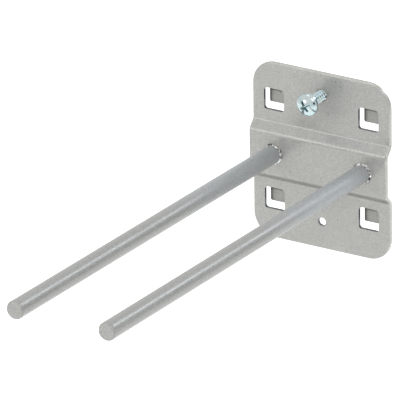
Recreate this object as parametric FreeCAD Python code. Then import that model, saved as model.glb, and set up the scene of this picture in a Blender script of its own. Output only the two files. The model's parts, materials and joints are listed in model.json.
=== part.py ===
import FreeCAD, Part
import math
import os

# A two-prong tool hook for a steel panel with square holes, in millimetres.
# X is to the right, Y goes back into the panel and Z is up. The origin lies on the panel's face,
# midway between the four lugs, so the plate's back is at Y = 0 and the rods point along -Y.

# The plate: one sheet, punched from the front and folded.
sheet = 1.25
plate_width = 55.6
plate_height = 67.5
plate_corner = 9.0
plate_drop = 0.8             # the plate's middle under the middle of the lugs
edge_roll = 0.7              # rounding that punching leaves along the front of the outline

# The raised band across the plate, which carries the rods.
band_rise = 2.9
band_reach = 9.3             # from the plate's middle to the middle of each slope
slope_angle = 45.0
band_bend = 1.5              # inside radius of the band's four bends

# The lugs, each cut out of its own window and folded back, then down.
lug_pitch = 38.1             # between lugs, across and up
window_width = 8.1
window_sill = 4.4            # lower edge of a window under its point of the pitch
window_head = 3.9            # upper edge of a window above its point of the pitch
sill_corner = 1.0
head_corner = 1.4
slit = 0.7                   # gap that the punch leaves beside a lug
fold_rise = 0.95             # fold line of a lug above its window's upper edge
lug_gap = 1.8                # room for the panel between the plate's back and a lug
lug_bend = 0.3               # inside radius of a lug's two bends
lug_corner = 0.6
neutral_share = 0.4          # depth of the unstretched layer in a bend, as a share of the sheet

# The rods, welded to the raised band and leaning up so that nothing slides off.
rod_diameter = 6.7
rod_length = 175.0           # along the rod, from the band to the free end
rod_spacing = 36.0
rod_lean = 3.0
rod_end_round = 0.8
weld_width = 0.45            # flash pressed out round the foot of a rod
weld_height = 0.5

# The locking screw, which forms its own thread in the upper of two holes; the lower one stays empty.
thread_diameter = 4.0
thread_clearance = 0.05
hole_diameter = 3.0          # of the empty hole, in which no thread has been formed
hole_spacing = 48.6
hole_roll = 0.5              # rounding that punching leaves at the mouth of a hole
screw_standoff = 8.8         # from the plate to the underside of the head
shank_length = 10.0
shank_chamfer = 0.5
head_diameter = 8.2
head_height = 3.1
head_side = 0.9              # straight part of the head's side
head_round = 0.9
recess_span = 4.4
recess_width = 1.0
recess_depth = 1.7
recess_taper = 0.35          # narrowing of each wing on every side, from its mouth to its floor
recess_turn = 35.0

plate_middle = -plate_drop
band_front = -sheet - band_rise


def folded_section(y, z, heading, steps, thickness):
    """Face in the YZ plane of a sheet that starts with its left side at (y, z) and follows the steps.

    A step is a run (length,) or a bend (degrees, inside radius); a positive bend turns left.
    """
    turn = math.radians(heading)
    left = FreeCAD.Vector(0, y, z)
    right = left + FreeCAD.Vector(0, math.sin(turn), -math.cos(turn)) * thickness
    left_edges = []
    right_edges = []
    start_cap = Part.LineSegment(right, left).toShape()
    for step in steps:
        if len(step) == 1:
            move = FreeCAD.Vector(0, math.cos(turn), math.sin(turn)) * step[0]
            next_left = left + move
            next_right = right + move
            left_edges.append(Part.LineSegment(left, next_left).toShape())
            right_edges.append(Part.LineSegment(right, next_right).toShape())
        else:
            angle, radius = step
            outwards = FreeCAD.Vector(0, -math.sin(turn), math.cos(turn))
            centre = left + outwards * radius if angle > 0 else right - outwards * radius
            half = FreeCAD.Rotation(FreeCAD.Vector(1, 0, 0), angle / 2)
            full = FreeCAD.Rotation(FreeCAD.Vector(1, 0, 0), angle)
            next_left = centre + full.multVec(left - centre)
            next_right = centre + full.multVec(right - centre)
            left_middle = centre + half.multVec(left - centre)
            right_middle = centre + half.multVec(right - centre)
            left_edges.append(Part.Arc(left, left_middle, next_left).toShape())
            right_edges.append(Part.Arc(right, right_middle, next_right).toShape())
            turn += math.radians(angle)
        left = next_left
        right = next_right
    end_cap = Part.LineSegment(left, right).toShape()
    edges = [start_cap] + left_edges + [end_cap] + right_edges[::-1]
    return Part.Face(Part.Wire(edges))


def across(section, width, x):
    """Solid of a section in the YZ plane, drawn out to a width centred on x."""
    section.translate(FreeCAD.Vector(x - width / 2, 0, 0))
    return section.extrude(FreeCAD.Vector(width, 0, 0))


def edges_along_y(solid, z):
    """Straight edges of a solid that run along Y at the height z."""
    found = []
    for edge in solid.Edges:
        ends = [vertex.Point for vertex in edge.Vertexes]
        if len(ends) == 2 and abs(ends[0].x - ends[1].x) < 1e-6:
            if all(abs(point.z - z) < 1e-6 for point in ends):
                found.append(edge)
    return found


def front_edges(plate):
    """Edges where a cut side of the plate meets its front."""
    found = []
    for edge in plate.Edges:
        middle = edge.valueAt((edge.FirstParameter + edge.LastParameter) / 2)
        normals = []
        for face in plate.ancestorsOfType(edge, Part.Face):
            u, v = face.Surface.parameter(middle)
            normals.append(face.normalAt(u, v))
        normals.sort(key=lambda normal: normal.y)
        if normals[0].y < -0.5 and abs(normals[1].y) < 1e-6:
            found.append(edge)
    return found


def make_blank():
    """Plate with its raised band and rounded outline, before the lugs and holes."""
    angle = math.radians(slope_angle)
    bend_middle = band_bend + sheet / 2
    slope = (band_rise - 2 * bend_middle * (1 - math.cos(angle))) / math.sin(angle)
    slope_height = 2 * bend_middle * math.sin(angle) + slope * math.cos(angle)
    flat = plate_height / 2 - band_reach - slope_height / 2
    band = 2 * band_reach - slope_height
    steps = [(flat,), (slope_angle, band_bend), (slope,), (-slope_angle, band_bend), (band,)]
    steps += [(-slope_angle, band_bend), (slope,), (slope_angle, band_bend), (flat,)]
    section = folded_section(-sheet, plate_middle - plate_height / 2, 90, steps, sheet)
    folded = across(section, plate_width, 0)
    depth = 2 * (sheet + band_rise)
    outline = Part.makeBox(plate_width, depth, plate_height)
    outline.translate(FreeCAD.Vector(-plate_width / 2, -depth, plate_middle - plate_height / 2))
    corners = edges_along_y(outline, plate_middle - plate_height / 2)
    corners += edges_along_y(outline, plate_middle + plate_height / 2)
    blank = folded.common(outline.makeFillet(plate_corner, corners)).removeSplitter()
    return blank.makeFillet(edge_roll, front_edges(blank))


def make_window(x, z):
    """Tool that cuts one window, with its corners rounded."""
    tool = Part.makeBox(window_width, 3 * sheet, window_sill + window_head)
    tool.translate(FreeCAD.Vector(x - window_width / 2, -2 * sheet, z - window_sill))
    tool = tool.makeFillet(sill_corner, edges_along_y(tool, z - window_sill))
    return tool.makeFillet(head_corner, edges_along_y(tool, z + window_head))


def make_lug(x, z):
    """Lug folded from the metal of its window: back through the panel's hole, then down behind it."""
    fold = window_head + fold_rise
    bend_length = math.pi / 2 * (lug_bend + neutral_share * sheet)
    neck = lug_gap - 2 * lug_bend
    drop = window_sill + fold - neck - 2 * bend_length
    steps = [(sheet,), (90, lug_bend), (neck,), (-90, lug_bend), (drop,)]
    section = folded_section(0, z + fold + sheet, -90, steps, sheet)
    lug = across(section, window_width - 2 * slit, x)
    tip = z + fold - 2 * lug_bend - sheet - drop
    return lug.makeFillet(lug_corner, edges_along_y(lug, tip))


def make_plate():
    """Back plate with its lugs and screw holes, as one folded piece."""
    plate = make_blank()
    places = [(x * lug_pitch / 2, z * lug_pitch / 2) for x in (-1, 1) for z in (-1, 1)]
    plate = plate.cut([make_window(x, z) for x, z in places])
    plate = plate.fuse([make_lug(x, z) for x, z in places])
    for side, radius in ((-1, hole_diameter / 2), (1, thread_diameter / 2 + thread_clearance)):
        foot = FreeCAD.Vector(0, -2 * sheet, side * hole_spacing / 2)
        plate = plate.cut(Part.makeCylinder(radius, 3 * sheet, foot, FreeCAD.Vector(0, 1, 0)))
    plate = plate.removeSplitter()
    mouths = []
    for edge in plate.Edges:
        if isinstance(edge.Curve, Part.Circle) and edge.isClosed():
            if abs(edge.Curve.Center.y + sheet) < 1e-6:
                mouths.append(edge)
    return plate.makeFillet(hole_roll, mouths)


def make_rod(x):
    """Straight rod with a softened free end and the weld flash round its foot, cut flush with the band."""
    radius = rod_diameter / 2
    foot = 2 * radius
    outer = radius + weld_width
    rod = Part.makeCylinder(radius, foot + rod_length)
    ends = [edge for edge in rod.Edges if abs(edge.CenterOfMass.z - foot - rod_length) < 1e-6]
    rod = rod.makeFillet(rod_end_round, ends)
    flash_foot = FreeCAD.Vector(0, 0, foot - radius)
    flash = Part.makeCylinder(outer, radius + weld_height, flash_foot)
    rims = [edge for edge in flash.Edges if abs(edge.CenterOfMass.z - foot - weld_height) < 1e-6]
    flash = flash.makeFillet(0.95 * min(weld_width, weld_height), rims)
    rod = rod.fuse(flash).removeSplitter()
    rod.translate(FreeCAD.Vector(0, 0, -foot))
    rod.rotate(FreeCAD.Vector(), FreeCAD.Vector(1, 0, 0), 90 - rod_lean)
    rod.translate(FreeCAD.Vector(x, band_front, plate_middle))
    size = 4 * foot
    behind = Part.makeBox(size, size, size)
    behind.translate(FreeCAD.Vector(x - size / 2, band_front, plate_middle - size / 2))
    return rod.cut(behind)


def make_recess(face):
    """Tool for the cross recess: two crossing wings that narrow towards the floor."""
    cross = []
    for length, width in ((recess_span, recess_width), (recess_width, recess_span)):
        low = FreeCAD.Vector(-length / 2, face, -width / 2)
        wing = Part.makeWedge(
            low.x, low.y, low.z, low.z + recess_taper, low.x + recess_taper,
            -low.x, low.y + recess_depth, -low.z, -low.z - recess_taper, -low.x - recess_taper,
        )
        cross.append(wing)
    recess = cross[0].fuse(cross[1])
    recess.rotate(FreeCAD.Vector(), FreeCAD.Vector(0, 1, 0), recess_turn)
    return recess


def arc_from_front(centre, radius, start, end):
    """Arc in the XY plane between two angles, in radians, that are measured from straight forward."""
    points = []
    for angle in (start, (start + end) / 2, end):
        points.append(centre + FreeCAD.Vector(math.sin(angle), -math.cos(angle), 0) * radius)
    return Part.Arc(*points).toShape()


def make_screw():
    """Locking screw, backed out so that its tip is level with the plate's back."""
    radius = head_diameter / 2
    seat = -sheet - screw_standoff
    top = seat - head_height
    shoulder = seat - head_side
    rim = FreeCAD.Vector(radius - head_round, shoulder, 0)
    depth = shoulder - top
    crown = (rim.x ** 2 + depth ** 2 - head_round ** 2) / (2 * (depth - head_round))
    middle = FreeCAD.Vector(0, top + crown, 0)
    meeting = math.atan2(rim.x, middle.y - rim.y)
    dome = arc_from_front(middle, crown, 0, meeting)
    rounding = arc_from_front(rim, head_round, meeting, math.pi / 2)
    rest = [
        FreeCAD.Vector(radius, shoulder, 0),
        FreeCAD.Vector(radius, seat, 0),
        FreeCAD.Vector(thread_diameter / 2, seat, 0),
        FreeCAD.Vector(thread_diameter / 2, seat + shank_length - shank_chamfer, 0),
        FreeCAD.Vector(thread_diameter / 2 - shank_chamfer, seat + shank_length, 0),
        FreeCAD.Vector(0, seat + shank_length, 0),
        FreeCAD.Vector(0, top, 0),
    ]
    profile = Part.Face(Part.Wire([dome, rounding] + Part.makePolygon(rest).Edges))
    screw = profile.revolve(FreeCAD.Vector(), FreeCAD.Vector(0, 1, 0), 360)
    screw = screw.cut(make_recess(top))
    screw.translate(FreeCAD.Vector(0, 0, hole_spacing / 2))
    return screw


os.makedirs("parts", exist_ok=True)
pieces = {
    "back_plate": make_plate(),
    "left_rod": make_rod(-rod_spacing / 2),
    "right_rod": make_rod(rod_spacing / 2),
    "locking_screw": make_screw(),
}
for name, piece in pieces.items():
    solid = piece.Solids[0]
    if len(piece.Solids) != 1 or not solid.isValid():
        raise ValueError(name + " isn't one sound solid")
    solid.exportStep("parts/" + name + ".step")
    print(name, round(solid.Volume, 1))
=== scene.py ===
import json
import math
from collections import namedtuple

import bmesh
import bpy
from mathutils import Matrix, Vector, noise


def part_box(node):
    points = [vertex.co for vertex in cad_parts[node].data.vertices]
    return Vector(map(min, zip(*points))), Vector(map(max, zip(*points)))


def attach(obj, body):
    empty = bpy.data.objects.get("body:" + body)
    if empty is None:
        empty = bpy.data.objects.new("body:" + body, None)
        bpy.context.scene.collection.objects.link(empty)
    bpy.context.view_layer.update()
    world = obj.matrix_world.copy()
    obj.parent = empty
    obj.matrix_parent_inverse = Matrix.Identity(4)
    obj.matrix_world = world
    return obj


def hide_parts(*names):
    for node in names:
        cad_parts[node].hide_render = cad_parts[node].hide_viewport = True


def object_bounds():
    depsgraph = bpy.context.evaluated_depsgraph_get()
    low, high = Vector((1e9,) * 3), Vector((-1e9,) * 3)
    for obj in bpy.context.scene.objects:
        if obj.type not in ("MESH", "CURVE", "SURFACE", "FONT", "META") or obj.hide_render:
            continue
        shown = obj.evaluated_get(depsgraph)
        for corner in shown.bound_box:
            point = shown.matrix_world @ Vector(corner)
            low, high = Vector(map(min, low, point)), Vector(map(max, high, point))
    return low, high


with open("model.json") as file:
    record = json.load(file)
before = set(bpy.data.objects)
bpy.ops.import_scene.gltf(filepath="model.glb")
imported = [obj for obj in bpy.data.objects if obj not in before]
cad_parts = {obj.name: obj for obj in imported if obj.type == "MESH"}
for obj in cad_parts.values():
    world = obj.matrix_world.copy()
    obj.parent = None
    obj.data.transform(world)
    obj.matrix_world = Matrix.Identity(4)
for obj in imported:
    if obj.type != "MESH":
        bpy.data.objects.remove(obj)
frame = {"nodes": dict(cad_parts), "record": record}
cad_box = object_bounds()

bl_info = {
    "name": "Two-prong panel hook",
    "version": (1, 0, 0),
    "blender": (4, 5, 0),
    "location": "View3D > Sidebar > Hook",
    "description": "Finishes and fine detail of a two-prong tool hook for a panel with square holes",
    "category": "Object",
}

MM = 0.001
WHITE = (1, 1, 1, 1)
SHARP_EDGE = math.radians(40)

# Parts of a normal along one axis, from where a change of finish or a painted shade starts to where it is
# full
WALL_NORMAL = (0.45, 0.15)
ROLLED_NORMAL = (0.97, 0.75)
DOWN_NORMAL = (-0.3, -0.75)
FRONT_NORMAL = (-0.3, -0.8)
END_NORMAL = (-0.8, -0.95)

# Values between which most of a noise lies
NOISE_RANGE = (0.3, 0.7)

# Places on the ramp of a flake's tone, with how far each departs from the coat in shares of its contrast
FLAKE_TONES = ((0, -1), (0.55, 0), (0.85, 0.5), (1, 1.5))

# Noise values of the pits with their painted shadow, the plain flash, and the beads with their painted
# highlight
WELD_LEVELS = (0.41, 0.46, 0.58)

# Noise values of the cold and the warm drifts in the zinc, and their tints of its colour
ZINC_LEVELS = (0.35, 0.65)
ZINC_COLD = (0.88, 0.97, 1)
ZINC_WARM = (1.08, 1.04, 0.98)

# Directions are from the hook's middle; distances and sizes are in metres
Lamp = namedtuple("Lamp", "name direction distance size strength colour")
LAMPS = (
    Lamp("front_left_box", (-0.48, -0.83, 0.29), 1.2, (0.4, 0.3), 3.6, (0.98, 0.98, 0.96)),
    Lamp("fill_box", (0.5, -0.55, 0.67), 1.2, (0.3, 0.24), 6.0, (0.9, 0.99, 1.1)),
    Lamp("top_box", (-0.25, -0.1, 0.96), 1.0, (0.26, 0.26), 3.0, (0.92, 0.98, 1.1)),
    Lamp("back_strip", (0.39, 0.788, 0.476), 1.2, (0.22, 0.32), 5.0, (0.88, 0.97, 1.12)),
)
Card = namedtuple("Card", "name direction distance size colour")
CARDS = (
    Card("grey_card", (0.62, 0.76, 0.1), 0.9, (0.5, 0.4), (0.6, 0.6, 0.6)),
    Card("dark_card", (0.675, -0.54, 0.167), 0.9, (0.3, 0.3), (0.04, 0.04, 0.045)),
)

mounts = {mount["name"]: mount for mount in frame["record"]["mounts"]}


def screw_reach(point, axis):
    """Distance of a point from the locking screw's axis, which runs along Y."""
    return math.hypot(point.x - axis.x, point.z - axis.z)


def measure_screw():
    """Places and radii of the locking screw, read from its solid."""
    rim_share, under_head = 0.9, 0.1 * MM
    low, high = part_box("locking_screw")
    axis = Vector(((low.x + high.x) / 2, 0, (low.z + high.z) / 2))
    head_radius = (high.x - low.x) / 2
    points = [vertex.co for vertex in frame["nodes"]["locking_screw"].data.vertices]
    seat = max(point.y for point in points if screw_reach(point, axis) > rim_share * head_radius)
    shank_radius = max(screw_reach(point, axis) for point in points if point.y > seat + under_head)
    return {"axis": axis, "seat": seat, "tip": high.y, "head": head_radius, "shank": shank_radius}


screw_solid = measure_screw()


class SilverPaint(bpy.types.PropertyGroup):
    """Silver coat of the plate and the rods."""
    plate_colour: bpy.props.FloatVectorProperty(
        name="Plate colour", description="Middle tone of the coat on the plate",
        default=(0.432, 0.416, 0.378), min=0, max=1, subtype="COLOR")
    rod_colour: bpy.props.FloatVectorProperty(
        name="Rod colour", description="Middle tone of the coat on the rods",
        default=(0.36, 0.35, 0.319), min=0, max=1, subtype="COLOR")
    metallic: bpy.props.FloatProperty(
        name="Metallic", description="Share of the coat that reflects as metal flakes do",
        default=0.28, min=0, max=1, subtype="FACTOR")
    roughness: bpy.props.FloatProperty(
        name="Roughness", description="Middle roughness of the coat",
        default=0.32, min=0, max=1, subtype="FACTOR")
    roughness_spread: bpy.props.FloatProperty(
        name="Roughness spread", description="How far the clouds change the roughness, up and down",
        default=0.05, min=0, max=1, subtype="FACTOR")
    flake: bpy.props.FloatProperty(
        name="Flake", description="Width of a flake in the coat",
        default=0.25 * MM, min=0.05 * MM, unit="LENGTH")
    contrast: bpy.props.FloatProperty(
        name="Contrast", description="How far flakes differ in brightness",
        default=0.16, min=0, max=1, subtype="FACTOR")
    cloud: bpy.props.FloatProperty(
        name="Cloud", description="Width of the faint clouds in the coat",
        default=2.5 * MM, min=0.5 * MM, unit="LENGTH")
    cloud_tone: bpy.props.FloatVectorProperty(
        name="Cloud tone", description="Tint of the darkest clouds, as a share of the full coat",
        default=(0.93, 0.93, 0.935), min=0, max=1, subtype="COLOR")
    streak: bpy.props.FloatProperty(
        name="Streak", description="How many times longer than wide the clouds on the rods are",
        default=20, min=1)
    grain: bpy.props.FloatProperty(
        name="Grain", description="Height of the fine grain in the skin of the coat",
        default=0.02 * MM, min=0, unit="LENGTH")
    grain_strength: bpy.props.FloatProperty(
        name="Grain strength", description="How much of that grain shows",
        default=0.35, min=0, max=1, subtype="FACTOR")
    # Painted shade: the plate's faces that look down are darkened to this share.
    underside: bpy.props.FloatProperty(
        name="Underside", description="Tone of plate faces that look down, as a share of the full coat",
        default=0.6, min=0, max=1, subtype="FACTOR")
    # Painted shade: the lugs behind the windows are darkened to this share.
    lug: bpy.props.FloatProperty(
        name="Lug", description="Tone of the coat on the lugs, as a share of the full coat",
        default=0.88, min=0, max=1, subtype="FACTOR")
    # Painted shadow: the sides of each lug, over the reach set below, are darkened to this share.
    lug_side: bpy.props.FloatProperty(
        name="Lug side", description="Tone at the rubbed sides of a lug, as a share of the full coat",
        default=0.36, min=0, max=1, subtype="FACTOR")
    lug_width: bpy.props.FloatProperty(
        name="Lug width", description="Width of a lug, up to its rubbed sides",
        default=6.7 * MM, min=0, unit="LENGTH")
    lug_start: bpy.props.FloatProperty(
        name="Lug start", description="Depth behind the plate's back face from which the steel is a lug",
        default=0.2 * MM, min=0, unit="LENGTH")
    # Painted shadow: reach of the darkened band along each side of a lug.
    shadowed: bpy.props.FloatProperty(
        name="Rubbed width", description="Reach of the rubbed sides over the front and back of a lug",
        default=1.5 * MM, min=0.1 * MM, unit="LENGTH")
    # Painted shadow at the top of each lug, below its fold, set by this and the next two values.
    fold: bpy.props.FloatProperty(
        name="Fold", description="Height, over the middle of its window, at which a lug goes into its fold",
        default=2.4 * MM, min=0, unit="LENGTH")
    # Painted shadow: the darkening fades in over this height below the fold.
    fold_fade: bpy.props.FloatProperty(
        name="Fold fade", description="Height over which the coat thins out below the fold",
        default=0.9 * MM, min=0.1 * MM, unit="LENGTH")
    # Painted shadow: the darkest tone at the top of a lug.
    fold_shadow: bpy.props.FloatProperty(
        name="Fold tone", description="Tone of the thin coat in a lug's fold, as a share of the lug's own",
        default=0.3, min=0, max=1, subtype="FACTOR")
    edge_width: bpy.props.FloatProperty(
        name="Edge width", description="Width of the rolled edge along the plate's outline",
        default=0.8 * MM, min=0, unit="LENGTH")
    corner: bpy.props.FloatProperty(
        name="Corner", description="Reach of the plate's rounded corners from its upper and lower edges",
        default=9.2 * MM, min=0, unit="LENGTH")
    # Painted highlight: the rolled edges are lightened by this share.
    edge: bpy.props.FloatProperty(
        name="Edge", description="Tone of the plate's edges, worn bright, as a share of the full coat",
        default=1.15, min=1, max=2, subtype="FACTOR")
    edge_metallic: bpy.props.FloatProperty(
        name="Edge metallic", description="Share of the worn edges that reflects as bare steel does",
        default=0.7, min=0, max=1, subtype="FACTOR")
    edge_roughness: bpy.props.FloatProperty(
        name="Edge roughness", description="Roughness of the worn edges",
        default=0.3, min=0, max=1, subtype="FACTOR")
    # Painted light: a paler, bluish tone over the stretch at each rod's foot.
    foot_light_tint: bpy.props.FloatVectorProperty(
        name="Foot tint", description="Tint of the coat at the foot of a rod, as a share of the full coat",
        default=(1.14, 1.19, 1.26), min=0, max=2, subtype="COLOR")
    foot_reach: bpy.props.FloatProperty(
        name="Foot reach", description="Length of the tinted stretch of a rod, from its foot",
        default=80 * MM, min=0, unit="LENGTH")
    foot_full: bpy.props.FloatProperty(
        name="Foot full", description="Share of the tinted stretch that has the full tint",
        default=1 / 3, min=0, max=1, subtype="FACTOR")
    foot_roughness: bpy.props.FloatProperty(
        name="Foot roughness", description="Roughness of the duller coat at the foot of a rod",
        default=0.5, min=0, max=1, subtype="FACTOR")
    end_tone: bpy.props.FloatProperty(
        name="End tone", description="Tone of the coat on the rods' cut ends, as a share of the full coat",
        default=1.12, min=1, max=2, subtype="FACTOR")


class CutWalls(bpy.types.PropertyGroup):
    """Painted shade on the cut walls of the windows and holes."""
    pitch: bpy.props.FloatProperty(
        name="Window pitch", description="Distance between the middles of the windows",
        default=38.1 * MM, min=0, unit="LENGTH")
    window_reach: bpy.props.FloatProperty(
        name="Window reach", description="Half the size of the square in which a window lies",
        default=4.6 * MM, min=0, unit="LENGTH")
    hole_reach: bpy.props.FloatProperty(
        name="Hole reach", description="Half the size of the square in which a screw hole lies",
        default=2.2 * MM, min=0, unit="LENGTH")
    sheet: bpy.props.FloatProperty(
        name="Sheet", description="Depth of the walls",
        default=1.25 * MM, min=0, unit="LENGTH")
    margin: bpy.props.FloatProperty(
        name="Margin", description="How far past the sheet's faces a wall may reach",
        default=0.05 * MM, min=0, unit="LENGTH")
    # Painted shade: this dark colour stands in for the shade on the window and hole walls.
    tone: bpy.props.FloatVectorProperty(
        name="Tone", description="Colour of the sheared steel",
        default=(0.11, 0.11, 0.112), min=0, max=1, subtype="COLOR")


class BrightZinc(bpy.types.PropertyGroup):
    """Plating of the locking screw."""
    colour: bpy.props.FloatVectorProperty(
        name="Colour", description="Middle tone of the plating",
        default=(0.5, 0.58, 0.6), min=0, max=1, subtype="COLOR")
    roughness: bpy.props.FloatProperty(
        name="Roughness", description="Middle roughness of the plating",
        default=0.14, min=0, max=1, subtype="FACTOR")
    roughness_spread: bpy.props.FloatProperty(
        name="Roughness spread", description="How far the drifts change the roughness, up and down",
        default=0.06, min=0, max=1, subtype="FACTOR")
    drift: bpy.props.FloatProperty(
        name="Drift", description="Width of the faint drifts of tone",
        default=1.6 * MM, min=0.1 * MM, unit="LENGTH")
    grain: bpy.props.FloatProperty(
        name="Grain", description="Width of the fine grain in the plating",
        default=0.2 * MM, min=0.05 * MM, unit="LENGTH")
    grain_height: bpy.props.FloatProperty(
        name="Grain height", description="Height of that grain",
        default=0.01 * MM, min=0, unit="LENGTH")
    grain_strength: bpy.props.FloatProperty(
        name="Grain strength", description="How much of that grain shows",
        default=0.1, min=0, max=1, subtype="FACTOR")


class WeldBead(bpy.types.PropertyGroup):
    """Uneven flash round the foot of each rod."""
    width: bpy.props.FloatProperty(
        name="Width", description="Mean reach of the bead over the band",
        default=0.5 * MM, min=0.1 * MM, unit="LENGTH")
    height: bpy.props.FloatProperty(
        name="Height", description="Mean reach of the bead along the rod",
        default=0.75 * MM, min=0.1 * MM, unit="LENGTH")
    unevenness: bpy.props.FloatProperty(
        name="Unevenness", description="How far the bead departs from its mean size",
        default=0.45, min=0, max=1, subtype="FACTOR")
    pit: bpy.props.FloatProperty(
        name="Pit", description="Distance between pits in the flash",
        default=1.4 * MM, min=0.1 * MM, unit="LENGTH")
    pit_depth: bpy.props.FloatProperty(
        name="Pit depth", description="Depth of the pits",
        default=0.05 * MM, min=0, unit="LENGTH")
    pit_strength: bpy.props.FloatProperty(
        name="Pit strength", description="How much of that depth shows",
        default=0.5, min=0, max=1, subtype="FACTOR")
    # Painted shadow: the dark colour in the pits.
    pit_shadow: bpy.props.FloatVectorProperty(
        name="Pit tone", description="Colour of the pits",
        default=(0.03, 0.03, 0.03), min=0, max=1, subtype="COLOR")
    # Painted highlight: the bright colour on the highest beads.
    bead_highlight: bpy.props.FloatVectorProperty(
        name="Bead tone", description="Colour of the bright beads",
        default=(0.85, 0.86, 0.87), min=0, max=1, subtype="COLOR")
    metallic: bpy.props.FloatProperty(
        name="Metallic", description="Share of the flash that reflects as bare steel does",
        default=0.9, min=0, max=1, subtype="FACTOR")
    pit_roughness: bpy.props.FloatProperty(
        name="Pit roughness", description="Roughness in the deepest pits",
        default=0.5, min=0, max=1, subtype="FACTOR")
    bead_roughness: bpy.props.FloatProperty(
        name="Bead roughness", description="Roughness on the highest beads",
        default=0.2, min=0, max=1, subtype="FACTOR")
    left_pits: bpy.props.FloatProperty(
        name="Left pits", description="Seed of the pattern of pits in the left bead",
        default=5)
    right_pits: bpy.props.FloatProperty(
        name="Right pits", description="Seed of the pattern of pits in the right bead",
        default=2)


class ScrewThread(bpy.types.PropertyGroup):
    """Coarse thread of the locking screw."""
    pitch: bpy.props.FloatProperty(
        name="Pitch", description="Advance of the thread in one turn",
        default=1.4 * MM, min=0.2 * MM, unit="LENGTH")
    depth: bpy.props.FloatProperty(
        name="Depth", description="Height of the thread over the core",
        default=0.5 * MM, min=0.1 * MM, unit="LENGTH")
    runout: bpy.props.FloatProperty(
        name="Runout", description="Length under the head over which the thread fades into the core",
        default=0.7 * MM, min=0.1 * MM, unit="LENGTH")


class ScrewHead(bpy.types.PropertyGroup):
    """Pan head of the locking screw and its cross recess."""
    height: bpy.props.FloatProperty(
        name="Height", description="Head height over its seat",
        default=3.1 * MM, min=0.5 * MM, unit="LENGTH")
    side: bpy.props.FloatProperty(
        name="Side", description="Straight part of the head's side",
        default=0.9 * MM, min=0.1 * MM, unit="LENGTH")
    rounding: bpy.props.FloatProperty(
        name="Rounding", description="Radius between the side and the dome",
        default=0.9 * MM, min=0.1 * MM, unit="LENGTH")
    recess_span: bpy.props.FloatProperty(
        name="Recess span", description="Length of each stroke of the cross",
        default=4.4 * MM, min=0.5 * MM, unit="LENGTH")
    recess_width: bpy.props.FloatProperty(
        name="Recess width", description="Width of each stroke of the cross",
        default=1.0 * MM, min=0.2 * MM, unit="LENGTH")
    recess_depth: bpy.props.FloatProperty(
        name="Recess depth", description="Depth of the cross under the top of the dome",
        default=1.7 * MM, min=0.2 * MM, unit="LENGTH")
    recess_taper: bpy.props.FloatProperty(
        name="Recess taper", description="Narrowing of each stroke on every side, down to its floor",
        default=0.35 * MM, min=0, unit="LENGTH")
    recess_turn: bpy.props.FloatProperty(
        name="Recess turn", description="Angle of the cross about the screw's axis",
        default=math.radians(35), subtype="ANGLE")


class Studio(bpy.types.PropertyGroup):
    """Floor, light and camera."""
    azimuth: bpy.props.FloatProperty(
        name="Azimuth", description="Camera's turn from straight in front towards the right",
        default=math.radians(30.561), subtype="ANGLE")
    elevation: bpy.props.FloatProperty(
        name="Elevation", description="Camera's height over the horizon",
        default=math.radians(23.761), subtype="ANGLE")
    roll: bpy.props.FloatProperty(
        name="Roll", description="Camera's turn about its line of sight",
        default=math.radians(0.739), subtype="ANGLE")
    aim: bpy.props.FloatVectorProperty(
        name="Aim", description="Point that the camera looks at",
        default=(-34.085 * MM, -27.891 * MM, -12.743 * MM), subtype="TRANSLATION")
    distance: bpy.props.FloatProperty(
        name="Distance", description="Camera's distance from that point",
        default=2.997, min=0.1, unit="LENGTH")
    lens: bpy.props.FloatProperty(
        name="Lens", description="Focal length in millimetres on a 36 mm sensor",
        default=765.9, min=1, unit="CAMERA")
    floor_drop: bpy.props.FloatProperty(
        name="Floor drop", description="Height of the hook's lowest point over the floor",
        default=1.6, min=0, unit="LENGTH")
    floor_size: bpy.props.FloatProperty(
        name="Floor size", description="Length of each side of the floor",
        default=12, min=1, unit="LENGTH")
    floor_colour: bpy.props.FloatVectorProperty(
        name="Floor colour", description="Colour of the floor",
        default=(0.97, 0.945, 0.9), min=0, max=1, subtype="COLOR")
    floor_lift: bpy.props.FloatProperty(
        name="Floor lift", description="White added to the floor where it is seen, but not to its light",
        default=0.5, min=0, max=1, subtype="FACTOR")
    ambient: bpy.props.FloatProperty(
        name="Ambient", description="Strength of the light from all round",
        default=1.0, min=0)
    ambient_colour: bpy.props.FloatVectorProperty(
        name="Ambient colour", description="Colour of the light from all round",
        default=(0.93, 0.985, 1.06), min=0, max=2, subtype="COLOR")


def feed(tree, socket, value):
    """Gives an input socket a number, a colour or another node's output."""
    if isinstance(value, bpy.types.NodeSocket):
        tree.links.new(value, socket)
    else:
        socket.default_value = value


def add_node(tree, kind, settings=None, inputs=None):
    """New shader node; an input is a number, a colour or another node's output."""
    node = tree.nodes.new(kind)
    for name, value in (settings or {}).items():
        setattr(node, name, value)
    for name, value in (inputs or {}).items():
        feed(tree, node.inputs[name], value)
    return node


def new_finish(name):
    """Material with a bare node tree; returns it with its tree and its output node."""
    material = bpy.data.materials.new(name)
    material.use_nodes = True
    material.node_tree.nodes.clear()
    return material, material.node_tree, material.node_tree.nodes.new("ShaderNodeOutputMaterial")


def close_finish(tree, output, colour, metallic, roughness, normal):
    """Joins a finish's colour, metallic share, roughness and normal in its surface."""
    shader = add_node(
        tree, "ShaderNodeBsdfPrincipled",
        inputs={"Base Color": colour, "Metallic": metallic, "Roughness": roughness, "Normal": normal})
    tree.links.new(shader.outputs["BSDF"], output.inputs["Surface"])


def ramp(tree, factor, stops):
    """Colour output of a ramp through (position, colour) stops."""
    node = add_node(tree, "ShaderNodeValToRGB", inputs={"Fac": factor})
    elements = node.color_ramp.elements
    while len(elements) < len(stops):
        elements.new(0.5)
    for element, (position, colour) in zip(elements, stops):
        element.position = position
        element.color = (*colour, 1)
    return node.outputs["Color"]


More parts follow.
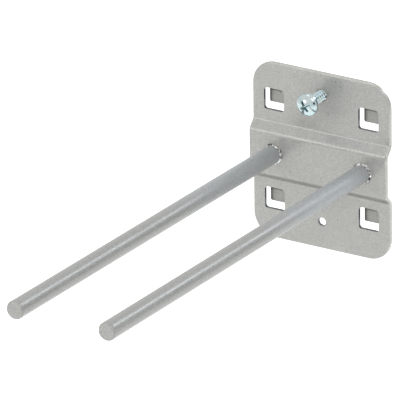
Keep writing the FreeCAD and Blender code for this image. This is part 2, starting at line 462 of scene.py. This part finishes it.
def mix_colours(tree, blend, factor, first, second):
    """Colour output of two colours blended; each is a colour or another node's output, as the factor is."""
    node = add_node(tree, "ShaderNodeMix", {"data_type": "RGBA", "blend_type": blend})
    factor_input, first_input, second_input, colour_output = 0, 6, 7, 2
    feed(tree, node.inputs[factor_input], factor)
    feed(tree, node.inputs[first_input], first)
    feed(tree, node.inputs[second_input], second)
    return node.outputs[colour_output]


def calculate(tree, operation, *values):
    """Output of a Math node; a value is a number or another node's output."""
    node = add_node(tree, "ShaderNodeMath", {"operation": operation})
    for socket, value in zip(node.inputs, values):
        feed(tree, socket, value)
    return node.outputs["Value"]


def fade(tree, value, start=0, end=1, low=0, high=1, smooth=False):
    """Output that goes from low to high as a value goes from start to end, and stays within them."""
    node = add_node(
        tree, "ShaderNodeMapRange", {"interpolation_type": "SMOOTHSTEP" if smooth else "LINEAR"},
        {"Value": value, "From Min": start, "From Max": end, "To Min": low, "To Max": high})
    return node.outputs["Result"]


def split(tree, kind):
    """X, Y and Z of a surface point in the hook's frame: its place for Object, its normal for Normal."""
    coordinates = add_node(tree, "ShaderNodeTexCoord")
    return add_node(tree, "ShaderNodeSeparateXYZ", inputs={"Vector": coordinates.outputs[kind]}).outputs


def patches(tree, place, size, detail, seed=None):
    """Noise from 0 to 1 in patches of a size; a seed gives it another pattern."""
    settings = {}
    inputs = {"Vector": place, "Scale": 1 / size, "Detail": detail}
    if seed is not None:
        settings["noise_dimensions"] = "4D"
        inputs["W"] = seed
    return add_node(tree, "ShaderNodeTexNoise", settings, inputs).outputs["Fac"]


def relief(tree, height, strength, distance):
    """Normal output of a relief whose highest points stand a distance over its lowest."""
    node = add_node(
        tree, "ShaderNodeBump", inputs={"Strength": strength, "Distance": distance, "Height": height})
    return node.outputs["Normal"]


def in_square(tree, across, height, middle, reach):
    """1 where a place lies within reach of a middle, across and in height, and 0 elsewhere."""
    in_width = calculate(tree, "COMPARE", across, middle[0], reach)
    in_height = calculate(tree, "COMPARE", height, middle[1], reach)
    return calculate(tree, "MULTIPLY", in_width, in_height)


def cut_wall_mask(tree):
    """1 on the sheared walls of the windows and screw holes and 0 elsewhere."""
    cut = bpy.context.scene.hook_cut
    place = split(tree, "Object")
    normal = split(tree, "Normal")
    across = calculate(tree, "ABSOLUTE", place["X"])
    height = calculate(tree, "ABSOLUTE", place["Z"])
    window = (cut.pitch / 2, cut.pitch / 2)
    hole = (0, abs(mounts["spare_screw_hole"]["pos_m"][2]))
    in_window = in_square(tree, across, height, window, cut.window_reach)
    in_hole = in_square(tree, across, height, hole, cut.hole_reach)
    in_sheet = calculate(tree, "COMPARE", place["Y"], -cut.sheet / 2, cut.sheet / 2 + cut.margin)
    sideways = fade(tree, calculate(tree, "ABSOLUTE", normal["Y"]), *WALL_NORMAL)
    inside = calculate(tree, "MULTIPLY", calculate(tree, "MAXIMUM", in_window, in_hole), in_sheet)
    return calculate(tree, "MULTIPLY", inside, sideways)


def painted_shade(tree):
    """Painted shade on the plate, as a share of its full tone: darker on faces that look down and on the
    lugs behind the windows, with painted shadow at the lugs' sides and tops.
    """
    paint = bpy.context.scene.hook_paint
    half_pitch = bpy.context.scene.hook_cut.pitch / 2
    half_lug = paint.lug_width / 2
    place = split(tree, "Object")
    normal = split(tree, "Normal")
    # Painted shade on faces that look down.
    downward = fade(tree, normal["Z"], *DOWN_NORMAL, 1, paint.underside)
    across = calculate(tree, "ABSOLUTE", place["X"])
    off_middle = calculate(tree, "ABSOLUTE", calculate(tree, "SUBTRACT", across, half_pitch))
    facing = calculate(tree, "SUBTRACT", 1, calculate(tree, "ABSOLUTE", normal["X"]))
    off_middle = calculate(tree, "MULTIPLY", off_middle, facing)
    # Painted shade over each whole lug, with painted shadow along both of its sides.
    shadowed = fade(
        tree, off_middle, half_lug - paint.shadowed, half_lug, paint.lug, paint.lug_side, smooth=True)
    window = calculate(tree, "MULTIPLY", calculate(tree, "SIGN", place["Z"]), half_pitch)
    over_middle = calculate(tree, "SUBTRACT", place["Z"], window)
    # Painted shadow at the top of each lug, below its fold.
    in_fold = fade(tree, over_middle, paint.fold - paint.fold_fade, paint.fold, smooth=True)
    front = fade(tree, normal["Y"], *FRONT_NORMAL)
    fold_shadow = fade(tree, calculate(tree, "MULTIPLY", in_fold, front), low=1, high=paint.fold_shadow)
    on_lug = calculate(tree, "GREATER_THAN", place["Y"], paint.lug_start)
    lug_tone = fade(tree, on_lug, low=1, high=calculate(tree, "MULTIPLY", shadowed, fold_shadow))
    return calculate(tree, "MULTIPLY", downward, lug_tone)


def edge_wear_and_highlight_mask(tree):
    """1 on the rolled edges along the plate's outline and 0 elsewhere."""
    paint = bpy.context.scene.hook_paint
    place = split(tree, "Object")
    normal = split(tree, "Normal")
    low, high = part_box("back_plate")
    across = calculate(tree, "ABSOLUTE", place["X"])
    near_side = calculate(tree, "GREATER_THAN", across, high.x - paint.edge_width)
    middle = (low.z + high.z) / 2
    from_middle = calculate(tree, "ABSOLUTE", calculate(tree, "SUBTRACT", place["Z"], middle))
    near_end = calculate(tree, "GREATER_THAN", from_middle, high.z - middle - paint.corner)
    rolled = fade(tree, calculate(tree, "ABSOLUTE", normal["Y"]), *ROLLED_NORMAL)
    return calculate(tree, "MULTIPLY", calculate(tree, "MAXIMUM", near_side, near_end), rolled)


def foot_mask(tree):
    """1 at the foot of a rod, fading to 0 along it."""
    paint = bpy.context.scene.hook_paint
    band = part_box("left_rod")[1].y
    full = band - paint.foot_reach * paint.foot_full
    return fade(tree, split(tree, "Object")["Y"], band - paint.foot_reach, full, smooth=True)


def shade(colour, factor):
    """A colour made lighter or darker."""
    return tuple(min(1, channel * factor) for channel in colour)


def tinted(colour, tint):
    """A colour with each channel changed by its own share."""
    return tuple(channel * share for channel, share in zip(colour, tint))


def plate_wear_and_painted_light(tree, colour, roughness):
    """Colour, metallic share and roughness of the plate: painted shade, rolled edges lightened as a painted
    highlight and made more metallic, and painted shade on the cut walls.
    """
    paint = bpy.context.scene.hook_paint
    worn_and_highlit = edge_wear_and_highlight_mask(tree)
    colour = mix_colours(tree, "MULTIPLY", 1, colour, painted_shade(tree))
    # Painted highlight: the rolled edges are made lighter in colour.
    colour = mix_colours(tree, "MULTIPLY", 1, colour, fade(tree, worn_and_highlit, low=1, high=paint.edge))
    # Painted shade: the window and hole walls take a dark colour.
    bare = (*bpy.context.scene.hook_cut.tone, 1)
    colour = mix_colours(tree, "MIX", cut_wall_mask(tree), colour, bare)
    metallic = fade(tree, worn_and_highlit, low=paint.metallic, high=paint.edge_metallic)
    return colour, metallic, fade(tree, worn_and_highlit, low=roughness, high=paint.edge_roughness)


def rod_wear_and_painted_light(tree, colour, roughness):
    """Colour, metallic share and roughness of a rod: a paler, bluish tone at the foot as painted light, a
    duller coat there, and a paler cut end.
    """
    paint = bpy.context.scene.hook_paint
    near_foot = foot_mask(tree)
    # Painted light: a paler, bluish tone near the foot of each rod.
    tint = mix_colours(tree, "MIX", near_foot, WHITE, (*paint.foot_light_tint, 1))
    colour = mix_colours(tree, "MULTIPLY", 1, colour, tint)
    end_tone = fade(tree, split(tree, "Normal")["Y"], *END_NORMAL, 1, paint.end_tone)
    colour = mix_colours(tree, "MULTIPLY", 1, colour, end_tone)
    return colour, paint.metallic, fade(tree, near_foot, low=roughness, high=paint.foot_roughness)


def silver_coat(name, colour, piece_wear_and_painted_light, streak=1):
    """Silver paint with fine flakes, faint clouds that streak makes longer, and each piece's own changes of
    tone, metallic share and roughness, painted light and shade among them.
    """
    paint = bpy.context.scene.hook_paint
    flake_over_grain = 0.6
    material, tree, output = new_finish(name)
    place = add_node(tree, "ShaderNodeTexCoord").outputs["Object"]
    flakes = add_node(tree, "ShaderNodeTexVoronoi", inputs={"Vector": place, "Scale": 1 / paint.flake})
    flake = add_node(tree, "ShaderNodeSeparateColor", inputs={"Color": flakes.outputs["Color"]})
    stops = [(at, shade(colour, 1 + share * paint.contrast)) for at, share in FLAKE_TONES]
    tone = ramp(tree, flake.outputs["Red"], stops)
    stretched = add_node(tree, "ShaderNodeMapping", inputs={"Vector": place, "Scale": (1, 1 / streak, 1)})
    clouds = patches(tree, stretched.outputs["Vector"], paint.cloud, detail=4)
    cloudy, clear = NOISE_RANGE
    haze = ramp(tree, clouds, [(cloudy, paint.cloud_tone), (clear, WHITE[:3])])
    smoothest = paint.roughness - paint.roughness_spread
    roughest = paint.roughness + paint.roughness_spread
    roughness = fade(tree, clouds, cloudy, clear, smoothest, roughest)
    grain = patches(tree, place, paint.flake / flake_over_grain, detail=2)
    normal = relief(tree, grain, paint.grain_strength, paint.grain)
    tone = mix_colours(tree, "MULTIPLY", 1, tone, haze)
    close_finish(tree, output, *piece_wear_and_painted_light(tree, tone, roughness), normal)
    return material


def weld_flash(name, seed):
    """Beaded flash with a painted highlight on its beads and painted shadow in its pits, whose pattern
    follows from the seed.
    """
    weld = bpy.context.scene.hook_weld
    material, tree, output = new_finish(name)
    place = add_node(tree, "ShaderNodeTexCoord").outputs["Object"]
    beads = patches(tree, place, weld.pit, detail=2, seed=seed)
    tones = (weld.pit_shadow, bpy.context.scene.hook_paint.plate_colour, weld.bead_highlight)
    tone = ramp(tree, beads, list(zip(WELD_LEVELS, tones)))
    roughness = fade(tree, beads, low=weld.pit_roughness, high=weld.bead_roughness)
    normal = relief(tree, beads, weld.pit_strength, weld.pit_depth)
    close_finish(tree, output, tone, weld.metallic, roughness, normal)
    return material


def zinc_plating():
    """Bright bluish plating with faint drifts of tone."""
    zinc = bpy.context.scene.hook_zinc
    material, tree, output = new_finish("bright_zinc_plating")
    place = add_node(tree, "ShaderNodeTexCoord").outputs["Object"]
    drift = patches(tree, place, zinc.drift, detail=3)
    tones = (tinted(zinc.colour, ZINC_COLD), tinted(zinc.colour, ZINC_WARM))
    tone = ramp(tree, drift, list(zip(ZINC_LEVELS, tones)))
    smoothest = zinc.roughness - zinc.roughness_spread
    roughest = zinc.roughness + zinc.roughness_spread
    roughness = fade(tree, drift, *NOISE_RANGE, smoothest, roughest)
    grain = patches(tree, place, zinc.grain, detail=2)
    normal = relief(tree, grain, zinc.grain_strength, zinc.grain_height)
    close_finish(tree, output, tone, 1, roughness, normal)
    return material


def coat_node(node, material):
    """Gives a solid of the frame a finish."""
    for material_slot in frame["nodes"][node].material_slots:
        material_slot.material = material


def add_piece(name, mesh, material, body):
    """Object for a finished mesh, smooth apart from its sharp edges, riding on a body."""
    mesh.shade_smooth()
    mesh.set_sharp_from_angle(angle=SHARP_EDGE)
    mesh.materials.append(material)
    piece = bpy.data.objects.new(name, mesh)
    bpy.context.scene.collection.objects.link(piece)
    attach(piece, body)
    return piece


def mesh_from_rings(name, rings, closed_tube=False):
    """Mesh of rings with equal counts, each joined to the next, and with ends closed or joined up."""
    shape = bmesh.new()
    rows = [[shape.verts.new(point) for point in ring] for ring in rings]
    pairs = list(zip(rows, rows[1:]))
    if closed_tube:
        pairs.append((rows[-1], rows[0]))
    else:
        shape.faces.new(rows[0])
        shape.faces.new(rows[-1])
    for row, after in pairs:
        for index in range(len(row)):
            beside = (index + 1) % len(row)
            shape.faces.new((row[index], row[beside], after[beside], after[index]))
    bmesh.ops.recalc_face_normals(shape, faces=shape.faces)
    mesh = bpy.data.meshes.new(name)
    shape.to_mesh(mesh)
    shape.free()
    return mesh


def thread_height(turns):
    """Height of a sharp, widely spaced thread, as a share of the full one, at a place in turns."""
    away = abs(turns % 1.0 - 0.5)
    crest, foot = 0.04, 0.27
    return min(1, max(0, (foot - away) / (foot - crest)))


def head_profile(head, radius, seat):
    """Points (radius, y) of the pan head, from near the middle of its dome to its seat."""
    top = seat - head.height
    shoulder = seat - head.side
    rim = radius - head.rounding
    depth = shoulder - top
    crown = (rim ** 2 + depth ** 2 - head.rounding ** 2) / (2 * (depth - head.rounding))
    meeting = math.atan2(rim, top + crown - shoulder)
    dome_steps, round_steps, soft_edge = 14, 8, 0.12 * MM
    points = []
    for step in range(1, dome_steps + 1):
        angle = meeting * step / dome_steps
        points.append((crown * math.sin(angle), top + crown * (1 - math.cos(angle))))
    for step in range(1, round_steps + 1):
        angle = meeting + (math.pi / 2 - meeting) * step / round_steps
        points.append((rim + head.rounding * math.sin(angle), shoulder - head.rounding * math.cos(angle)))
    points.append((radius, seat - soft_edge))
    points.append((radius - soft_edge, seat))
    return points


def recess_cutter(head, top):
    """Mesh of the cross recess: a cross that narrows towards its floor, about the origin's Y axis."""
    rings = []
    over = 0.5 * MM
    for depth in (-over, head.recess_depth):
        shrink = head.recess_taper * depth / head.recess_depth
        long = head.recess_span / 2 - shrink
        half = head.recess_width / 2 - shrink
        outline = []
        for quarter in range(4):
            turn = quarter * math.pi / 2 + head.recess_turn
            for along, side in ((long, -half), (long, half), (half, half)):
                x = along * math.cos(turn) - side * math.sin(turn)
                z = along * math.sin(turn) + side * math.cos(turn)
                outline.append(Vector((x, top + depth, z)))
        rings.append(outline)
    return mesh_from_rings("recess_cutter", rings)


def cut_mesh(mesh, cutter):
    """Mesh with the cutter's volume taken away."""
    body = bpy.data.objects.new("to_cut", mesh)
    tool = bpy.data.objects.new("cutter", cutter)
    for item in (body, tool):
        bpy.context.scene.collection.objects.link(item)
    cut = body.modifiers.new("cut", "BOOLEAN")
    cut.operation = "DIFFERENCE"
    cut.solver = "EXACT"
    cut.object = tool
    result = bpy.data.meshes.new_from_object(body.evaluated_get(bpy.context.evaluated_depsgraph_get()))
    for item in (body, tool):
        used = item.data
        bpy.data.objects.remove(item)
        bpy.data.meshes.remove(used)
    return result


class HOOK_OT_plate(bpy.types.Operator):
    """Coat the folded back plate"""
    bl_idname = "hook.plate"
    bl_label = "Back plate"

    def execute(self, context):
        colour = context.scene.hook_paint.plate_colour
        coat_node("back_plate", silver_coat("plate_silver", colour, plate_wear_and_painted_light))
        return {"FINISHED"}


class HOOK_OT_rods(bpy.types.Operator):
    """Coat the two rods"""
    bl_idname = "hook.rods"
    bl_label = "Rods"

    def execute(self, context):
        paint = context.scene.hook_paint
        coat = silver_coat("rod_silver", paint.rod_colour, rod_wear_and_painted_light, paint.streak)
        for node in ("left_rod", "right_rod"):
            coat_node(node, coat)
        return {"FINISHED"}


class HOOK_OT_weld_beads(bpy.types.Operator):
    """Lay an uneven bead of flash round the foot of each rod"""
    bl_idname = "hook.weld_beads"
    bl_label = "Weld beads"

    def execute(self, context):
        weld = context.scene.hook_weld
        for side, seed in (("left", weld.left_pits), ("right", weld.right_pits)):
            mesh = self.bead_mesh(weld, side)
            flash = weld_flash(side + "_weld_flash", seed)
            add_piece(side + "_weld_bead", mesh, flash, "hook")
        return {"FINISHED"}

    def bead_mesh(self, weld, side):
        """Closed ring whose section changes from place to place round the rod."""
        prong = mounts[side + "_prong"]
        axis = Vector(prong["axis"])
        middle = Vector(prong["pos_m"])
        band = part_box(side + "_rod")[1].y
        foot = middle + axis * ((band - middle.y) / axis.y)
        radius = prong["dims"]["r_mm"] * MM
        sink = 0.1 * MM
        around, across = 120, 8
        # The steps give the two beads, and a bead's width and height, patterns of their own
        waviness, bead_step, height_step = 2.2, 100, 7
        width_rate, height_rate, ripple_rate, ripple_share = 1.6, 2.3, 4, 0.5
        bead_pattern = Vector((0, foot.x * bead_step, 0))
        height_pattern = Vector((height_step, 0, 0))
        rings = []
        for step in range(around):
            turn = 2 * math.pi * step / around
            outwards = Vector((math.cos(turn), 0, math.sin(turn)))
            place = outwards * waviness + bead_pattern
            width = weld.width * (1 + weld.unevenness * noise.noise(place * width_rate))
            height_noise = noise.noise(place * height_rate + height_pattern)
            height = weld.height * (1 + weld.unevenness * height_noise)
            ring = [foot + outwards * (radius - sink) + axis * -sink]
            for part in range(across + 1):
                angle = math.pi / 2 * part / across
                ripple_noise = noise.noise(place * ripple_rate + Vector((0, part, 0)))
                ripple = 1 + ripple_share * weld.unevenness * ripple_noise
                reach = radius + width * math.sin(angle) * ripple
                ring.append(foot + outwards * reach + axis * height * math.cos(angle) * ripple)
            ring.append(foot + outwards * (radius + width) + axis * -sink)
            rings.append(ring)
        return mesh_from_rings(side + "_weld_bead", rings, closed_tube=True)


class HOOK_OT_locking_screw(bpy.types.Operator):
    """Make the locking screw with its thread and cross recess"""
    bl_idname = "hook.locking_screw"
    bl_label = "Locking screw"

    def execute(self, context):
        head = context.scene.hook_head
        mesh = self.turned_mesh(head, context.scene.hook_thread)
        mesh = cut_mesh(mesh, recess_cutter(head, screw_solid["seat"] - head.height))
        mesh.transform(Matrix.Translation(screw_solid["axis"]))
        screw = add_piece("threaded_screw", mesh, zinc_plating(), "screw")
        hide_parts("locking_screw")
        return {"FINISHED"}

    def turned_mesh(self, head, thread):
        """Head and threaded shank about the origin's Y axis."""
        around, rows_per_pitch = 72, 24
        seat, tip, radius = screw_solid["seat"], screw_solid["tip"], screw_solid["shank"]
        turns = [2 * math.pi * step / around for step in range(around)]
        rings = []
        for reach, y in head_profile(head, screw_solid["head"], seat):
            rings.append([Vector((reach * math.sin(turn), y, reach * math.cos(turn))) for turn in turns])
        rows = round((tip - seat) / thread.pitch * rows_per_pitch)
        chamfer = thread.depth
        for row in range(rows + 1):
            y = seat + (tip - seat) * row / rows
            full = min(1, (y - seat) / thread.runout)
            end = radius - max(0, chamfer - (tip - y))
            ring = []
            for turn in turns:
                height = full * thread_height(y / thread.pitch - turn / (2 * math.pi))
                reach = min(end, radius - thread.depth * (1 - height))
                ring.append(Vector((reach * math.sin(turn), y, reach * math.cos(turn))))
            rings.append(ring)
        return mesh_from_rings("turned_screw", rings)


def background_rays(tree):
    """1 for rays that show the background: those of the camera, reflections and clear surfaces."""
    path = add_node(tree, "ShaderNodeLightPath").outputs
    seen = calculate(tree, "MAXIMUM", path["Is Camera Ray"], path["Is Glossy Ray"])
    return calculate(tree, "MAXIMUM", seen, path["Is Transmission Ray"])


def add_sheet(name, size, material):
    """Flat rectangle about its own middle, for the stage."""
    x, y = size[0] / 2, size[1] / 2
    mesh = bpy.data.meshes.new(name)
    mesh.from_pydata([(-x, -y, 0), (x, -y, 0), (x, y, 0), (-x, y, 0)], [], [(0, 1, 2, 3)])
    mesh.materials.append(material)
    sheet = bpy.data.objects.new(name, mesh)
    bpy.context.scene.collection.objects.link(sheet)
    return sheet


def face_hook(item, direction, distance, front):
    """Places a lamp or card at a distance from the hook's middle, with its front axis towards it."""
    middle = (cad_box[0] + cad_box[1]) / 2
    outwards = Vector(direction).normalized()
    item.location = middle + outwards * distance
    item.rotation_mode = "QUATERNION"
    item.rotation_quaternion = (-outwards).to_track_quat(front, "Y")


class HOOK_OT_stage(bpy.types.Operator):
    """Set up the floor, the soft light and the camera"""
    bl_idname = "hook.stage"
    bl_label = "Stage"

    def execute(self, context):
        studio = context.scene.hook_studio
        context.scene.view_settings.view_transform = "Standard"
        self.make_world(studio)
        self.make_floor(studio)
        for plan in LAMPS:
            self.make_softbox(plan)
        for plan in CARDS:
            self.make_card(plan)
        self.make_camera(studio)
        return {"FINISHED"}

    def make_world(self, studio):
        """Even light from all round, with white behind the hook."""
        world = bpy.data.worlds.new("white_tent")
        world.use_nodes = True
        tree = world.node_tree
        tree.nodes.clear()
        light = {"Color": (*studio.ambient_colour, 1), "Strength": studio.ambient}
        ambient = add_node(tree, "ShaderNodeBackground", inputs=light)
        white = add_node(tree, "ShaderNodeBackground", inputs={"Color": WHITE, "Strength": 1})
        mix = add_node(tree, "ShaderNodeMixShader", inputs={"Fac": background_rays(tree)})
        tree.links.new(ambient.outputs["Background"], mix.inputs[1])
        tree.links.new(white.outputs["Background"], mix.inputs[2])
        output = add_node(tree, "ShaderNodeOutputWorld")
        tree.links.new(mix.outputs["Shader"], output.inputs["Surface"])
        bpy.context.scene.world = world

    def make_floor(self, studio):
        """Pale floor that shows white and takes the hook's shadow."""
        material, tree, output = new_finish("pale_floor")
        matt = add_node(tree, "ShaderNodeBsdfDiffuse", inputs={"Color": (*studio.floor_colour, 1)})
        lift = calculate(tree, "MULTIPLY", background_rays(tree), studio.floor_lift)
        glow = add_node(tree, "ShaderNodeEmission", inputs={"Color": WHITE, "Strength": lift})
        both = add_node(tree, "ShaderNodeAddShader")
        tree.links.new(matt.outputs["BSDF"], both.inputs[0])
        tree.links.new(glow.outputs["Emission"], both.inputs[1])
        tree.links.new(both.outputs["Shader"], output.inputs["Surface"])
        floor = add_sheet("floor", (studio.floor_size, studio.floor_size), material)
        floor.location.z = cad_box[0].z - studio.floor_drop

    def make_softbox(self, plan):
        """Soft rectangular lamp that faces the hook."""
        lamp = bpy.data.lights.new(plan.name, "AREA")
        lamp.shape = "RECTANGLE"
        lamp.size, lamp.size_y = plan.size
        lamp.energy = plan.strength * math.pi * plan.size[0] * plan.size[1]
        lamp.color = plan.colour
        holder = bpy.data.objects.new(plan.name, lamp)
        bpy.context.scene.collection.objects.link(holder)
        face_hook(holder, plan.direction, plan.distance, "-Z")

    def make_card(self, plan):
        """Matt card that faces the hook and shows in its reflections, but not to the camera."""
        material, tree, output = new_finish(plan.name)
        matt = add_node(tree, "ShaderNodeBsdfDiffuse", inputs={"Color": (*plan.colour, 1)})
        tree.links.new(matt.outputs["BSDF"], output.inputs["Surface"])
        card = add_sheet(plan.name, plan.size, material)
        card.visible_camera = False
        card.visible_shadow = False
        face_hook(card, plan.direction, plan.distance, "Z")

    def make_camera(self, studio):
        """Long lens from the front right and above."""
        azimuth, elevation = studio.azimuth, studio.elevation
        level = math.cos(elevation)
        right = Vector((math.cos(azimuth), math.sin(azimuth), 0))
        back = Vector((math.sin(azimuth) * level, -math.cos(azimuth) * level, math.sin(elevation)))
        up = back.cross(right)
        tilted_right = right * math.cos(studio.roll) - up * math.sin(studio.roll)
        tilted_up = right * math.sin(studio.roll) + up * math.cos(studio.roll)
        data = bpy.data.cameras.new("camera")
        data.sensor_width = 36
        data.lens = studio.lens
        data.clip_start, data.clip_end = 0.01, 100
        camera = bpy.data.objects.new("camera", data)
        turn = Matrix((tilted_right, tilted_up, back)).transposed()
        place = Vector(studio.aim) + back * studio.distance
        camera.matrix_world = Matrix.Translation(place) @ turn.to_4x4()
        bpy.context.scene.collection.objects.link(camera)
        bpy.context.scene.camera = camera


class HOOK_PT_panel(bpy.types.Panel):
    """Lists the steps and the sizes and colours that they use"""
    bl_idname = "HOOK_PT_panel"
    bl_label = "Two-prong hook"
    bl_space_type = "VIEW_3D"
    bl_region_type = "UI"
    bl_category = "Hook"

    def draw(self, context):
        for step in steps:
            self.layout.operator(step.bl_idname)
        for name, group in groups.items():
            box = self.layout.box()
            box.label(text=group.__doc__)
            for setting in group.__annotations__:
                box.prop(getattr(context.scene, name), setting)


groups = {
    "hook_paint": SilverPaint,
    "hook_cut": CutWalls,
    "hook_zinc": BrightZinc,
    "hook_weld": WeldBead,
    "hook_thread": ScrewThread,
    "hook_head": ScrewHead,
    "hook_studio": Studio,
}
steps = (HOOK_OT_plate, HOOK_OT_rods, HOOK_OT_weld_beads, HOOK_OT_locking_screw, HOOK_OT_stage)


def register():
    """Adds the settings, the steps and the panel."""
    for name, group in groups.items():
        bpy.utils.register_class(group)
        setattr(bpy.types.Scene, name, bpy.props.PointerProperty(type=group))
    for item in (*steps, HOOK_PT_panel):
        bpy.utils.register_class(item)


def unregister():
    """Takes the panel, the steps and the settings out again."""
    for item in (HOOK_PT_panel, *reversed(steps)):
        bpy.utils.unregister_class(item)
    for name, group in groups.items():
        delattr(bpy.types.Scene, name)
        bpy.utils.unregister_class(group)


def main():
    """Finishes the hook and sets its stage."""
    register()
    bpy.ops.hook.plate()
    bpy.ops.hook.rods()
    bpy.ops.hook.weld_beads()
    bpy.ops.hook.locking_screw()
    bpy.ops.hook.stage()


if __name__ == "__main__":
    main()
